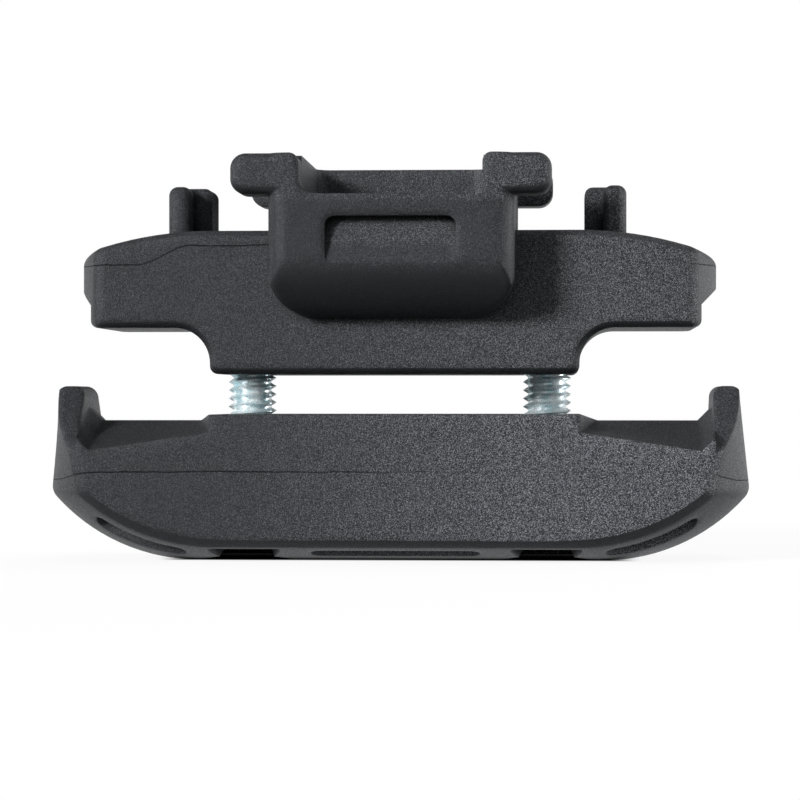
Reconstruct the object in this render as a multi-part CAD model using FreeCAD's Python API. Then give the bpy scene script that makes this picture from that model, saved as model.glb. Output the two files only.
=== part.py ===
import FreeCAD, Part
import math
import os
from FreeCAD import Vector

# Saddle bag mount: a two-piece clamp for a saddle's rails, with a hook block for a bag.
# Millimetres. X runs across the saddle, Y along the rails, Z from the rail clamp to the bag hook.
# The origin is the middle of the flat strip under the rail clamp, midway between the screws.

# Both mouldings: depth along the rails, and the bevel of their front and back edges
half_depth = 12.0
edge_bevel = 0.7

# Rail clamp: hull outline at its belly, midway between front and back
clamp_flat_half = 25.0
clamp_half = 43.0
clamp_wide_height = 8.3
clamp_top_half = 41.6
clamp_wide_round = 2.0
base_half_depth = 3.5

# Rail clamp: how far the outline in its front and back faces is set in from the belly's
front_flat_inset = 4.0
front_floor_rise = 2.06
front_side_inset = 5.3
front_wide_drop = 0.1
front_top_inset = 1.0

# Rail clamp: block, rail seats and hooks
block_top = 17.76
block_half = 22.2
block_ramp = 2.2
block_round = 1.0
seat_crest = 17.0
seat_crest_half_depth = 1.5
seat_inner_drop = 1.4
seat_outer_drop = 3.6
hook_top = 21.2
hook_thickness = 3.3
hook_top_round = 1.3
hook_root_bevel = 1.6
hook_top_half_depth = 4.5
hook_foot = 13.0

# Rail clamp: slots that lighten the underside
slot_front = 10.0
slot_back = 7.3
slot_roof = 9.5
slot_round = 1.2
middle_slot_half = 10.2
side_slot_inner = 25.3
side_slot_length = 11.0

# Screws and nuts, M6
screw_spacing = 36.4
thread_diameter = 6.0
thread_play = 0.05
screw_length = 25.0
head_diameter = 10.0
head_height = 6.0
socket_across_flats = 5.0
socket_depth = 3.0
nut_across_flats = 10.0
nut_height = 5.0
nut_top = 10.0
nut_pocket_play = 0.06
nut_mouth_flare = 2.2
nut_mouth_depth = 1.2
screw_clearance = 0.6
head_clearance = 0.8

# Bag carrier: body and wings, heights measured up from its bottom face
jaw_gap = 4.85
carrier_height = 17.2
carrier_block_half = 22.15
block_foot_round = 1.0
wing_underside = 5.57
wing_root_round = 4.3
wing_front_half = 35.9
wing_half = 38.9
wing_lip = 2.2
wing_foot_round = 0.9
wing_step_height = 8.3
wing_top_flat_half = 22.0
wing_top_radius = 45.0
wing_top_slope = 25.0
wing_end_round = 1.2
head_seat_height = 8.0

# Bag carrier: hook block
hook_block_front = 19.5
hook_block_back = 11.0
hook_block_half = 14.5
hook_block_bottom = 6.7
hook_block_corner = 5.4
hook_block_round = 2.2
trough_wall = 3.7
trough_floor = 10.5
trough_lip_round = 2.0
front_wall = 2.8
front_wall_top = 21.1
back_wall = 3.0

# Bag carrier: ears of the hook block
ear_half = 18.9
ear_top = 25.9
ear_height = 4.8
front_ear_depth = 5.9
back_ear_depth = 5.4
ear_round = 1.8
ear_rim_round = 1.1

# Bag carrier: finger recess in the front wall of the hook block
recess_half = 7.7
recess_height = 5.8
recess_drop = 2.6
recess_depth = 1.6
recess_round = 1.2

# Bag carrier: stop posts beside the hook block
post_inner = 22.8
post_stop_width = 2.25
post_rib_width = 2.8
post_front = 6.5
post_stop_front = 3.0
post_back = 4.5
post_top = 22.9
post_round = 1.1

# Bag carrier: hollows that lighten the wings
wing_core_inner = 30.0
wing_core_width = 5.0
wing_core_half_depth = 8.5
wing_core_depth = 6.5
wing_core_round = 1.5

# Reach of a cut past the faces that it opens, the gap that keeps one clear of a face it follows,
# and the distance within which two places are the same
overcut = 20.0
skim = 0.05
same_place = 1e-4

hook_inner = clamp_top_half - hook_thickness
screw_hole_diameter = thread_diameter + screw_clearance
head_bore_diameter = head_diameter + head_clearance
wing_lower_half = wing_half - wing_lip
trough_half = hook_block_half - trough_wall
carrier_bottom = block_top + jaw_gap
carrier_top = carrier_bottom + carrier_height
head_seat = carrier_bottom + head_seat_height
screw_places = {"left": -screw_spacing / 2, "right": screw_spacing / 2}


def front_plane(y):
    """Places (across, up) in the plane at y that faces along the rails."""
    return lambda across, up: Vector(across, y, up)


def side_plane(x):
    """Places (along, up) in the plane at x that faces across the saddle."""
    return lambda along, up: Vector(x, along, up)


def plan_plane(z):
    """Places (across, along) in the level plane at z."""
    return lambda across, along: Vector(across, along, z)


def line(start, end):
    return Part.LineSegment(start, end).toShape()


def arc(start, middle, end):
    return Part.Arc(start, middle, end).toShape()


def outline(corners, place):
    """Closed wire through corners (u, v, radius), each rounded by its radius."""
    stretches = []
    for index, (u, v, radius) in enumerate(corners):
        corner = Vector(u, v, 0)
        back = (Vector(*corners[index - 1][:2], 0) - corner).normalize()
        onward = (Vector(*corners[(index + 1) % len(corners)][:2], 0) - corner).normalize()
        half_angle = back.getAngle(onward) / 2
        reach = radius / math.tan(half_angle)
        crown = (back + onward).normalize() * (radius / math.sin(half_angle) - radius)
        stretches.append((corner + back * reach, corner + crown, corner + onward * reach, radius))
    edges = []
    for index, (first, middle, last, radius) in enumerate(stretches):
        following = stretches[(index + 1) % len(stretches)][0]
        if radius:
            edges.append(arc(place(*first[:2]), place(*middle[:2]), place(*last[:2])))
        edges.append(line(place(*last[:2]), place(*following[:2])))
    return Part.Wire(edges)


def both_sides(right_half):
    """Corners of a symmetric outline, from its right half listed from bottom to top."""
    return right_half + [(-u, v, radius) for u, v, radius in reversed(right_half)]


def prism(wire, reach):
    """Solid swept from a closed flat wire along the vector reach."""
    return Part.Face(wire).extrude(reach)


def rectangle(u_low, u_high, v_low, v_high, radius=0.0):
    """Corners of a rectangle with equal rounding."""
    return [(u_low, v_low, radius), (u_high, v_low, radius),
            (u_high, v_high, radius), (u_low, v_high, radius)]


def block(x_low, x_high, y_low, y_high, z_low, z_high):
    return Part.makeBox(x_high - x_low, y_high - y_low, z_high - z_low, Vector(x_low, y_low, z_low))


def cylinder(x, diameter, z_low, z_high):
    """Upright cylinder on a screw's axis."""
    return Part.makeCylinder(diameter / 2, z_high - z_low, Vector(x, 0, z_low))


def hexagon(x, across_flats, z):
    """Hexagon about a screw's axis, with two corners on the line through both screws."""
    radius = across_flats / math.sqrt(3)
    turns = [math.radians(60 * step) for step in range(6)]
    return outline([(x + radius * math.cos(t), radius * math.sin(t), 0) for t in turns], plan_plane(z))


def mirrored(solid, normal):
    return solid.mirror(Vector(0, 0, 0), normal)


def on_both_ends(solid):
    """The solid and its mirror image on the other side of the part."""
    return [solid, mirrored(solid, Vector(1, 0, 0))]


def on_front_and_back(solid):
    """The solid and its mirror image across the plane of the screws."""
    return [solid, mirrored(solid, Vector(0, 1, 0))]


def edges_where(solid, test):
    """Edges whose sampled points all pass the test."""
    def samples(edge):
        return [edge.valueAt(edge.FirstParameter + share * (edge.LastParameter - edge.FirstParameter))
                for share in (0.0, 0.5, 1.0)]
    return [edge for edge in solid.Edges if all(test(point) for point in samples(edge))]


def near(value, target):
    return abs(value - target) < same_place


def hull_section(y, flat_half, floor, wide_half, wide_height, top_half):
    """Outline of the rail clamp at y: a flat floor, an arc up to its widest point, a leaning side."""
    run = wide_half - flat_half
    rise = wide_height - floor
    radius = (run ** 2 + rise ** 2) / (2 * rise)
    half_turn = math.atan2(rise, run)
    middle_x = flat_half + radius * math.sin(half_turn)
    middle_z = floor + radius * (1 - math.cos(half_turn))
    top = hook_top + overcut
    top_x = wide_half + (top_half - wide_half) * (top - wide_height) / (hook_top - wide_height)
    place = front_plane(y)
    return Part.Wire([
        line(place(-flat_half, floor), place(flat_half, floor)),
        arc(place(flat_half, floor), place(middle_x, middle_z), place(wide_half, wide_height)),
        line(place(wide_half, wide_height), place(top_x, top)),
        line(place(top_x, top), place(-top_x, top)),
        line(place(-top_x, top), place(-wide_half, wide_height)),
        arc(place(-wide_half, wide_height), place(-middle_x, middle_z), place(-flat_half, floor)),
    ])


def clamp_hull():
    """Crowned hull of the rail clamp, cut flat where it stands."""
    front_wide_height = clamp_wide_height - front_wide_drop
    face = (clamp_flat_half - front_flat_inset, front_floor_rise, clamp_half - front_side_inset,
            front_wide_height, clamp_top_half - front_top_inset)
    share = (base_half_depth / half_depth) ** 2
    belly_floor = -front_floor_rise * share / (1 - share)
    belly = (clamp_flat_half, belly_floor, clamp_half, clamp_wide_height, clamp_top_half)
    hull = Part.makeLoft([hull_section(-half_depth, *face), hull_section(0, *belly),
                          hull_section(half_depth, *face)], True, False)
    hull = hull.makeFillet(clamp_wide_round, [
        edge for edge in hull.Edges
        if all(near(vertex.Z, front_wide_height) for vertex in edge.Vertexes)])
    rims = edges_where(hull, lambda point: near(abs(point.y), half_depth) and point.z < hook_top)
    hull = hull.makeChamfer(edge_bevel, rims)
    wide = clamp_half + overcut
    return hull.cut(block(-wide, wide, -half_depth - overcut, half_depth + overcut, -overcut, 0))


def clamp_top_silhouette():
    """Everything below the tops of the block, the rail seats and the hooks, seen from the front."""
    outside = clamp_half + overcut
    right = [
        (outside, -overcut, 0),
        (outside, clamp_wide_height, 0),
        (clamp_half + skim, clamp_wide_height, 0),
        (clamp_top_half + skim, hook_top, hook_top_round),
        (hook_inner, hook_top, hook_top_round),
        (hook_inner, seat_crest + hook_root_bevel, 0),
        (hook_inner - hook_root_bevel, seat_crest, 0),
        (block_half + block_ramp, seat_crest, block_round),
        (block_half, block_top, block_round),
    ]
    wire = outline(both_sides(right), front_plane(-half_depth - overcut))
    return prism(wire, Vector(0, 2 * (half_depth + overcut), 0))


def seat_slope():
    """Cut over the right rail seat, falling from its crest to the front face."""
    run = half_depth - seat_crest_half_depth
    stretch = (run + overcut) / run
    ceiling = hook_top + overcut

    def section(y, inner_x, inner_z, outer_z):
        corners = [(inner_x, inner_z, 0), (hook_inner - hook_root_bevel, outer_z, 0),
                   (hook_inner, outer_z + hook_root_bevel, 0), (hook_inner, ceiling, 0), (inner_x, ceiling, 0)]
        return outline(corners, front_plane(y))

    crest = section(-seat_crest_half_depth, block_half + block_ramp, seat_crest, seat_crest)
    front = section(-half_depth - overcut, block_half + block_ramp * (1 - stretch),
                    seat_crest - seat_inner_drop * stretch, seat_crest - seat_outer_drop * stretch)
    return Part.makeLoft([front, crest], True, True)


def hook_slope():
    """Cut in front of the right hook, which leans back from the front face to its top."""
    lean = (hook_top - hook_foot) / (half_depth - hook_top_half_depth)
    front = -half_depth - overcut
    back = -hook_top_half_depth + overcut
    corners = [(front, hook_foot - lean * overcut, 0),
               (back, hook_top + lean * overcut, 0),
               (front, hook_top + lean * overcut, 0)]
    return prism(outline(corners, side_plane(hook_inner)), Vector(overcut, 0, 0))


def underside_slots():
    """Slots along the front of the underside: one in the middle and one in each corner."""
    side_slot_outer = side_slot_inner + side_slot_length
    spans = [(-middle_slot_half, middle_slot_half), (side_slot_inner, side_slot_outer),
             (-side_slot_outer, -side_slot_inner)]
    for low, high in spans:
        corners = rectangle(low, high, -slot_front, -slot_back, slot_round)
        yield prism(outline(corners, plan_plane(-overcut)), Vector(0, 0, slot_roof + overcut))


def nut_pocket(x):
    """Hexagonal pocket with a flared mouth, and the screw's hole above it."""
    across_flats = nut_across_flats + 2 * nut_pocket_play
    pocket = prism(hexagon(x, across_flats, -overcut), Vector(0, 0, nut_top + overcut))
    mouth = Part.makeLoft([hexagon(x, across_flats + 2 * nut_mouth_flare, 0),
                           hexagon(x, across_flats, nut_mouth_depth)], True, True)
    return pocket.fuse([mouth, cylinder(x, screw_hole_diameter, 0, block_top + overcut)])


def make_rail_clamp():
    """Lower moulding: the hull with rail seats, hooks, slots, nut pockets and screw holes."""
    clamp = clamp_hull().common(clamp_top_silhouette())
    cuts = []
    for cut in (seat_slope(), hook_slope()):
        for side in on_both_ends(cut):
            cuts += on_front_and_back(side)
    for slot in underside_slots():
        cuts += on_front_and_back(slot)
    cuts += [nut_pocket(x) for x in screw_places.values()]
    return clamp.cut(cuts)


def make_screw(x):
    """Socket head cap screw, its shank left plain at the thread's outside."""
    shank = cylinder(x, thread_diameter - 2 * thread_play, head_seat - screw_length, head_seat)
    head = cylinder(x, head_diameter, head_seat, head_seat + head_height)
    socket = prism(hexagon(x, socket_across_flats, head_seat + head_height - socket_depth),
                   Vector(0, 0, overcut))
    return shank.fuse(head).cut(socket)


def make_nut(x):
    """Hexagon nut, bored to the thread's outside."""
    low = nut_top - nut_height
    nut = prism(hexagon(x, nut_across_flats, low), Vector(0, 0, nut_height))
    return nut.cut(cylinder(x, thread_diameter, low - overcut, nut_top + overcut))


def carrier_front_outline():
    """Body of the bag carrier seen from the front: a block with a wing on each side."""
    slope = math.radians(wing_top_slope)
    bend = wing_top_flat_half + wing_top_radius * math.tan(slope / 2)
    tip = wing_half + edge_bevel
    right = [
        (carrier_block_half, 0, block_foot_round),
        (carrier_block_half, wing_underside, wing_root_round),
        (wing_lower_half, wing_underside, 0),
        (wing_lower_half, wing_step_height, 0),
        (tip, wing_step_height + tip - wing_lower_half, 0),
        (tip, carrier_height - (tip - bend) * math.tan(slope), 0),
        (bend, carrier_height, wing_top_radius),
    ]
    return [(u, carrier_bottom + v, radius) for u, v, radius in both_sides(right)]


def carrier_plan():
    """Slab whose ends bulge between the front and back faces."""
    place = plan_plane(carrier_bottom)
    right_front, right_back = place(wing_front_half, -half_depth), place(wing_front_half, half_depth)
    left_front, left_back = place(-wing_front_half, -half_depth), place(-wing_front_half, half_depth)
    wire = Part.Wire([
        line(left_front, right_front),
        arc(right_front, place(wing_half, 0), right_back),
        line(right_back, left_back),
        arc(left_back, place(-wing_half, 0), left_front),
    ])
    return prism(wire, Vector(0, 0, carrier_height))


def carrier_body():
    """Block and wings, each wing notched under the lip of its rounded end, with bevelled rims."""
    front = prism(outline(carrier_front_outline(), front_plane(-half_depth)), Vector(0, 2 * half_depth, 0))
    body = carrier_plan().common(front).Solids[0]
    lip_top = carrier_bottom + wing_step_height + wing_lip
    ends = edges_where(body, lambda point: point.z > lip_top
                       and abs(point.x) > wing_front_half - same_place)
    body = body.makeFillet(wing_end_round, ends)
    rims = edges_where(body, lambda point: near(abs(point.y), half_depth))
    body = body.makeChamfer(edge_bevel, rims)
    underside = carrier_bottom + wing_underside
    feet = edges_where(body, lambda point: near(point.z, underside) and abs(point.x) > wing_front_half)
    return body.makeFillet(wing_foot_round, feet)


def raised(corners):
    """Corners measured up from the bag carrier's bottom face, in the part's own heights."""
    return [(u, carrier_bottom + v, radius) for u, v, radius in corners]


def hook_block_neck():
    """Outside of the hook block: an upright neck with a round chin in front of the body."""
    right = [(hook_block_half, hook_block_bottom, hook_block_corner), (hook_block_half, ear_top, 0)]
    depth = hook_block_front + hook_block_back
    face = outline(raised(both_sides(right)), front_plane(-hook_block_front))
    plan = outline(rectangle(-hook_block_half, hook_block_half, -hook_block_front, hook_block_back,
                             hook_block_round), plan_plane(carrier_bottom))
    neck = prism(face, Vector(0, depth, 0)).common(prism(plan, Vector(0, 0, ear_top)))
    chin = hook_block_front - half_depth
    chin_low = carrier_bottom + hook_block_bottom
    corner = block(-hook_block_half, hook_block_half, -hook_block_front, -half_depth,
                   chin_low, chin_low + chin)
    rounding = Part.makeCylinder(chin, 2 * hook_block_half,
                                 Vector(-hook_block_half, -half_depth, chin_low + chin), Vector(1, 0, 0))
    return neck.cut(corner.cut(rounding))


def ear_bar(outer, inner):
    """One bar across the hook block, its two ends a pair of ears, rounded on the outer side."""
    corners = rectangle(-ear_half, ear_half, ear_top - ear_height, ear_top, ear_round)
    bar = prism(outline(raised(corners), front_plane(outer)), Vector(0, inner - outer, 0))
    rim = edges_where(bar, lambda point: near(point.y, outer))
    return bar.makeFillet(ear_rim_round, rim)


def trough():
    """Hollow of the hook block, open at its top."""
    inside = outline(rectangle(-trough_half, trough_half, front_wall - hook_block_front,
                               hook_block_back - back_wall, trough_lip_round),
                     plan_plane(carrier_bottom + trough_floor))
    return prism(inside, Vector(0, 0, overcut))


def window():
    """Opening of the trough through the upper part of the hook block's front wall."""
    clear = ear_top + overcut
    right = [(trough_half, front_wall_top, trough_lip_round), (trough_half, ear_top, ear_rim_round),
             (hook_block_half, ear_top, 0), (hook_block_half, clear, 0)]
    face = outline(raised(both_sides(right)), front_plane(-hook_block_front - overcut))
    inside = front_wall + trough_lip_round
    return prism(face, Vector(0, overcut + inside, 0))


def finger_recess():
    """Shallow recess in the front wall, deepest at its upper edge and running out at its lower one."""
    high = carrier_bottom + front_wall_top - recess_drop
    low = high - recess_height
    face = outline(rectangle(-recess_half, recess_half, low, high, recess_round),
                   front_plane(-hook_block_front - overcut))
    wedge = outline([(-hook_block_front, low, 0), (-hook_block_front + recess_depth, high, 0),
                     (-hook_block_front - overcut, high, 0), (-hook_block_front - overcut, low, 0)],
                    side_plane(-recess_half))
    return prism(face, Vector(0, 2 * overcut, 0)).common(prism(wedge, Vector(2 * recess_half, 0, 0)))


def stop_post():
    """Right stop post: a rib with a step behind its front, on the inner side."""
    divide = post_inner + post_stop_width
    outer = divide + post_rib_width
    plan = [(post_inner, -post_stop_front, 0), (divide, -post_stop_front, 0),
            (divide, -post_front, post_round), (outer, -post_front, post_round),
            (outer, post_back, post_round), (post_inner, post_back, post_round)]
    foot = carrier_top - edge_bevel
    height = carrier_bottom + post_top - foot
    post = prism(outline(plan, plan_plane(foot)), Vector(0, 0, height))
    tops = edges_where(post, lambda point: near(point.z, foot + height))
    return post.makeFillet(post_round, tops)


def screw_bore(x):
    """Clearance hole for a screw, and the wider bore that takes its head from above."""
    hole = cylinder(x, screw_hole_diameter, carrier_bottom - overcut, head_seat + overcut)
    return hole.fuse(cylinder(x, head_bore_diameter, head_seat, carrier_top + overcut))


def wing_core():
    """Hollow that lightens the right wing from above."""
    floor = carrier_top - wing_core_depth
    corners = rectangle(wing_core_inner, wing_core_inner + wing_core_width,
                        -wing_core_half_depth, wing_core_half_depth, wing_core_round)
    return prism(outline(corners, plan_plane(floor)), Vector(0, 0, overcut))


def make_bag_carrier():
    """Upper moulding: body and wings, hook block with ears, stop posts, bores and hollows."""
    bars = [ear_bar(-hook_block_front, front_ear_depth - hook_block_front),
            ear_bar(hook_block_back, hook_block_back - back_ear_depth)]
    hook = hook_block_neck().fuse(bars).cut([window(), finger_recess()])
    cuts = [screw_bore(x) for x in screw_places.values()] + on_both_ends(wing_core())
    carrier = carrier_body().fuse([hook] + on_both_ends(stop_post()))
    return carrier.cut(cuts + [trough()])


def main():
    os.makedirs("parts", exist_ok=True)
    nodes = {"rail_clamp": make_rail_clamp(), "bag_carrier": make_bag_carrier()}
    for side, x in screw_places.items():
        nodes["screw_" + side] = make_screw(x)
        nodes["nut_" + side] = make_nut(x)
    for name, shape in nodes.items():
        solid = shape.removeSplitter().Solids[0]
        solid.exportStep("parts/" + name + ".step")
        print(name, len(shape.Solids), solid.isValid(), round(solid.Volume), len(solid.Faces),
              solid.optimalBoundingBox())


if __name__ == "__main__":
    main()
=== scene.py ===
import math
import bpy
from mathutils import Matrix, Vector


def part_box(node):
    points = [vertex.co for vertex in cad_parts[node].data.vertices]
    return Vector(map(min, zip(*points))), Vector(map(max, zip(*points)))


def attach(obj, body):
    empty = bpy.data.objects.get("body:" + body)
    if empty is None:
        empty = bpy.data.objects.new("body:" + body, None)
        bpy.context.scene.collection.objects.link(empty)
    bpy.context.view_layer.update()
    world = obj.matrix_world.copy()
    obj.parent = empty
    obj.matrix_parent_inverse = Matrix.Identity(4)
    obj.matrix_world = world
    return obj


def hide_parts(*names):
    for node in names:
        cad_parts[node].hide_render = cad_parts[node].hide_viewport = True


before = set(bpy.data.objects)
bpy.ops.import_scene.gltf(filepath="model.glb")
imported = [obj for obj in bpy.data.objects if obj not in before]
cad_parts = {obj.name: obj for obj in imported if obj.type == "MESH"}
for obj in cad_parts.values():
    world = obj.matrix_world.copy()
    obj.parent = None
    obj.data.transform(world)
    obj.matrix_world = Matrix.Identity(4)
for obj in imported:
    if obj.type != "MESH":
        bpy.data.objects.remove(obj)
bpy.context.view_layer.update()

from types import SimpleNamespace

import bpy
from mathutils import Vector

bl_info = {
    "name": "Saddle bag mount looks",
    "version": (1, 0, 0),
    "blender": (4, 5, 0),
    "location": "3D View > Sidebar > Saddle mount",
    "description": "Dresses the saddle bag mount: eroded plastic, threaded zinc screws and nuts, and a stage",
    "category": "Object",
}

SIDES = ("left", "right")
MM = 0.001

# Meshes
WELD = 1e-6
ROUND_SIDES = 96
TURN_STEPS = 48
BEVEL_SEGMENTS = 3
SMOOTH_ANGLE = math.radians(35)
HULL_SMOOTH_ANGLE = math.radians(20)
RIM_ANGLE = math.radians(40)
FACE_WEIGHT = 100

# Thread: spare turns that are cut off, and its form in shares of the pitch and of the thread's depth
SPARE_TURNS_BELOW = 2
SPARE_TURNS_ABOVE = 1
ROOT_LAND = 0.18
CREST_LAND = 0.056
FLANK_RISE = 0.32
CORNER_RISE = 0.06
CREST_CORNER = 0.7
CORNER_DEPTH = 0.1

# Cutters that overlap: where a tip's sleeve starts on its cone, and how far a sink stands out of its face
SLEEVE_START = 0.9
SINK_PAST = 0.1

# Noise: its middle range, and the detail of cloudy patches
NOISE_LOW = 0.3
NOISE_HIGH = 0.7
CLOUD_DETAIL = 3
CLOUD_ROUGHNESS = 0.6

# Plastic: parts of a normal between which the painted sheen and the painted glint points fade, and what is
# left of them
FRONT_STRAIGHT = -0.96
FRONT_TURNED = -0.75
TURNED_SHEEN = 0.1
FACING_DOWN = -0.45
FACING_LEVEL = -0.08
DOWN_GLINT = 0.03

# Plastic: ranges of the textures that make points, pits, the edges lightened by wear and painted highlight,
# and the painted shade in slots and corners
POINTS_PER_PIT = 2.0
POINT_START = 0.52
POINT_FULL = 0.9
POINT_HEIGHT = 0.7
PIT_EDGE = 0.35
WORN_LIT_START = 0.98
WORN_LIT_FULL = 0.8
WEAR_LIT_LOW = 0.35
WEAR_LIT_HIGH = 0.65
WEAR_LIT_LEAST = 0.2
CREVICE_DARK = 0.3
CREVICE_OPEN = 0.75
SHADER_SAMPLES = 6

# Plastic: shares of the seam's width and of the depth of the frame with less painted sheen, between which
# they fade
SEAM_CORE = 0.3
SEAM_RIM = 0.7
FRAME_CORE = 0.3

# Plastic: tones as shares of its colour (among them the painted shade in slots and corners), how far pits
# show and how far seams show under the painted sheen, and the spread of its roughness
PATCH_DARK = 0.92
PATCH_LIGHT = 1.08
PIT_TONE = 0.3
PIT_SHARE = 0.35
SEAM_TONE = 0.15
SEAM_ON_SHEEN = 0.25
CREVICE_SHADE_TONE = 0.1
PIT_MATT = 0.12
RIDGE_SHINE = 0.1
PLASTIC_IOR = 1.5

# Zinc: range of the tinted patches, and the spread of its roughness
TINT_START = 0.4
TINT_FULL = 0.68
ZINC_SMOOTHER = 0.06
ZINC_ROUGHER = 0.1

# Stage: shares of the covered floor's reach where its painted shade starts to fade
FOOT_SIDE_FADE = 0.85
FOOT_FRONT_FADE = 0.6
FOOT_BACK_FADE = 0.9

# Stage: floor, its faint clouds, and the fade at the front of its mirrored part
FLOOR_RADIUS = 4
FLOOR_DROP = 0.02 * MM
FLOOR_CLOUD = 60 * MM
FLOOR_DARK = 0.86
FLOOR_LIGHT = 0.9
MIRROR_FADE = 0.2

# Stage: directions in which the surround is mirrored as a white wall
FLANK_START = 0.2
FLANK_TALL = 0.6
FLANK_FULL = 0.7
FLANK_HEIGHT = 0.5
WALL_START = -0.1
WALL_FULL = 0.35
WALL_LOW = 0.08
WALL_TOP = 0.32

# Stage: lamps by name, place, width and height, and whether they are mirrored
LAMPS = (
    ("key", (-0.80, -0.84, 0.42), (0.3, 0.3), True),
    ("front", (0.1, -0.9, 0.12), (0.9, 0.4), True),
    ("side", (0.9, 0.12, 0.12), (0.4, 0.4), True),
    ("top", (0.1, 0.1, 0.9), (0.6, 0.6), False),
    ("back", (0.35, 0.95, 0.2), (0.6, 0.6), False),
)

# Stage: camera
SENSOR_WIDTH = 36
CLIP_START = 0.01
CLIP_END = 20


class PlasticLook(bpy.types.PropertyGroup):
    """Finish of the two plastic mouldings."""
    colour: bpy.props.FloatVectorProperty(
        name="Colour", description="Charcoal of the plastic", subtype="COLOR", size=3,
        default=(0.0105, 0.0115, 0.0140), min=0, max=1)
    # Painted glints: colour of the bright grain points, a painted highlight; the lightened edges use it too.
    painted_glint_colour: bpy.props.FloatVectorProperty(
        name="Glint colour", description="Colour of the grain's bright points", subtype="COLOR", size=3,
        default=(0.55, 0.57, 0.60), min=0, max=1)
    grain_size: bpy.props.FloatProperty(
        name="Grain size", description="Width of one pit of the eroded grain", unit="LENGTH",
        default=0.14 * MM)
    grain_depth: bpy.props.FloatProperty(
        name="Grain depth", description="Depth of the eroded grain", unit="LENGTH", default=0.075 * MM)
    # How bright the painted glint points are away from the painted sheen.
    painted_glint_share: bpy.props.FloatProperty(
        name="Glint share", description="How bright the grain's points are where it isn't rubbed",
        subtype="FACTOR", default=0.16, min=0, max=1)
    patch_size: bpy.props.FloatProperty(
        name="Patch size", description="Width of the plastic's cloudy patches", unit="LENGTH", default=9 * MM)
    edge_softness: bpy.props.FloatProperty(
        name="Edge softness", description="Radius that the light finds on the moulded edges",
        unit="LENGTH", default=1.4 * MM)
    # Share of the edges' lightening, partly wear and partly a painted highlight.
    edge_wear_and_highlight_share: bpy.props.FloatProperty(
        name="Edge wear", description="Share of bright wear on the moulded edges", subtype="FACTOR",
        default=0.045, min=0, max=1)
    edge_polish: bpy.props.FloatProperty(
        name="Edge polish", description="How much smoother the worn edges are", subtype="FACTOR",
        default=0.06, min=0, max=1)
    roughness: bpy.props.FloatProperty(
        name="Roughness", description="Roughness of the plastic between the pits", subtype="FACTOR",
        default=0.5, min=0, max=1)
    gloss: bpy.props.FloatProperty(
        name="Gloss", description="Specular level of the plastic", subtype="FACTOR", default=0.5,
        min=0, max=1)
    gloss_tint: bpy.props.FloatVectorProperty(
        name="Gloss tint", description="Cool cast of the plastic's shine", subtype="COLOR", size=3,
        default=(0.90, 0.95, 1.0), min=0, max=1)
    # Painted sheen: the plastic is painted lighter towards the right, a painted highlight; these set its
    # reach, its tone and its strength on each moulding.
    painted_sheen_half: bpy.props.FloatProperty(
        name="Rubbed reach", description="Half of the stretch over which the grain turns from matt to rubbed",
        unit="LENGTH", default=30 * MM)
    painted_sheen_tone: bpy.props.FloatProperty(
        name="Rubbed tone", description="How many times lighter the rubbed plastic is", default=2.2)
    clamp_painted_sheen: bpy.props.FloatProperty(
        name="Clamp rub", description="How far the rail clamp's grain is rubbed", subtype="FACTOR",
        default=0.7, min=0, max=1)
    carrier_painted_sheen: bpy.props.FloatProperty(
        name="Carrier rub", description="How far the bag carrier's grain is rubbed", subtype="FACTOR",
        default=0.38, min=0, max=1)
    seam_width: bpy.props.FloatProperty(
        name="Seam width", description="Width of the line where the mould's halves met", unit="LENGTH",
        default=0.11 * MM)
    seam_wobble: bpy.props.FloatProperty(
        name="Seam wobble", description="How far the seam strays from its line", unit="LENGTH",
        default=0.4 * MM)
    seam_wave: bpy.props.FloatProperty(
        name="Seam wave", description="Length over which the seam strays", unit="LENGTH", default=5 * MM)
    seam_depth: bpy.props.FloatProperty(
        name="Seam depth", description="Depth of the seam, in depths of the grain", default=3.0)
    seam_shade: bpy.props.FloatProperty(
        name="Seam shade", description="How far the seam is darkened", subtype="FACTOR",
        default=0.85, min=0, max=1)
    clamp_seam_height: bpy.props.FloatProperty(
        name="Clamp seam height", description="Height of the rail clamp's seam on its front",
        unit="LENGTH", default=10.9 * MM)
    clamp_seam_drop: bpy.props.FloatProperty(
        name="Clamp seam drop", description="Fall of the rail clamp's seam towards its ends",
        unit="LENGTH", default=1.2 * MM)
    clamp_seam_bend: bpy.props.FloatProperty(
        name="Clamp seam bend", description="Where the rail clamp's seam starts to fall", unit="LENGTH",
        default=35.5 * MM)
    carrier_seam_height: bpy.props.FloatProperty(
        name="Carrier seam height", description="Height of the bag carrier's seam on its wings",
        unit="LENGTH", default=35.7 * MM)
    carrier_seam_rise: bpy.props.FloatProperty(
        name="Carrier seam rise", description="Rise of the bag carrier's seam towards the hook block",
        unit="LENGTH", default=2.3 * MM)
    carrier_seam_inner: bpy.props.FloatProperty(
        name="Carrier seam inner bend", description="Where the bag carrier's seam has risen", unit="LENGTH",
        default=24.5 * MM)
    carrier_seam_outer: bpy.props.FloatProperty(
        name="Carrier seam outer bend", description="Where the bag carrier's seam starts to rise",
        unit="LENGTH", default=31 * MM)
    carrier_seam_clear: bpy.props.FloatProperty(
        name="Carrier seam clear", description="Half width of the hook block, which has no seam",
        unit="LENGTH", default=14.7 * MM)
    # Reach of the painted shade that darkens slots and corners.
    crevice_shade_reach: bpy.props.FloatProperty(
        name="Crevice reach", description="Width of the slots and corners that stay dark", unit="LENGTH",
        default=3 * MM)
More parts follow.
